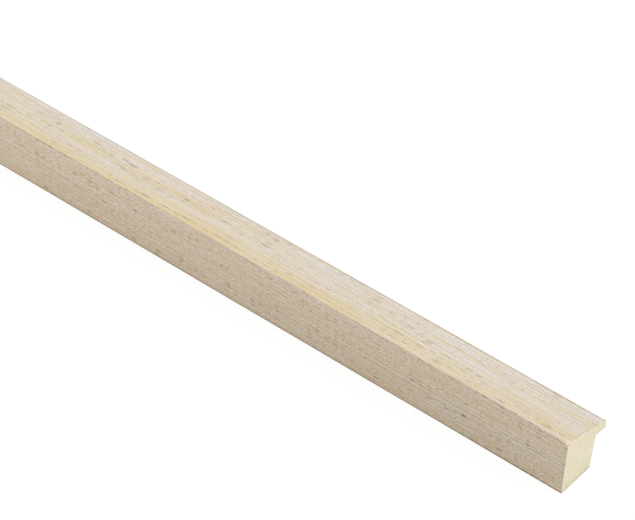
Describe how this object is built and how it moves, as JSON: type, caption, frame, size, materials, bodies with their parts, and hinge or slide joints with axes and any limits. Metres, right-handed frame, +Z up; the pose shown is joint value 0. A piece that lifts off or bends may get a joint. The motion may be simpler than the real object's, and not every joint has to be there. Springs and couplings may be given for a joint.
{
  "type": "picture frame moulding",
  "caption": "Length of light timber picture frame moulding: flat face falling to the sight edge, upright outer side, flat back and a rebate under the lip for the glass. Limed finish.",
  "frame": {"origin": "on the flat back, below the middle of the stock's length and of its overall width", "axes": "+X along the grain, +Y from the outer side to the sight edge, +Z up from the flat back to the face"},
  "size_m": [1.2, 0.025, 0.0253],
  "materials": {
    "limed_timber": "pale timber rubbed with a thin white liming wash on the face, outer side and sight edge, matt; bare wood on the sawn ends, the back and the rebate"
  },
  "bodies": {
    "root": {"moulding": "limed_timber"}
  },
  "joints": []
}
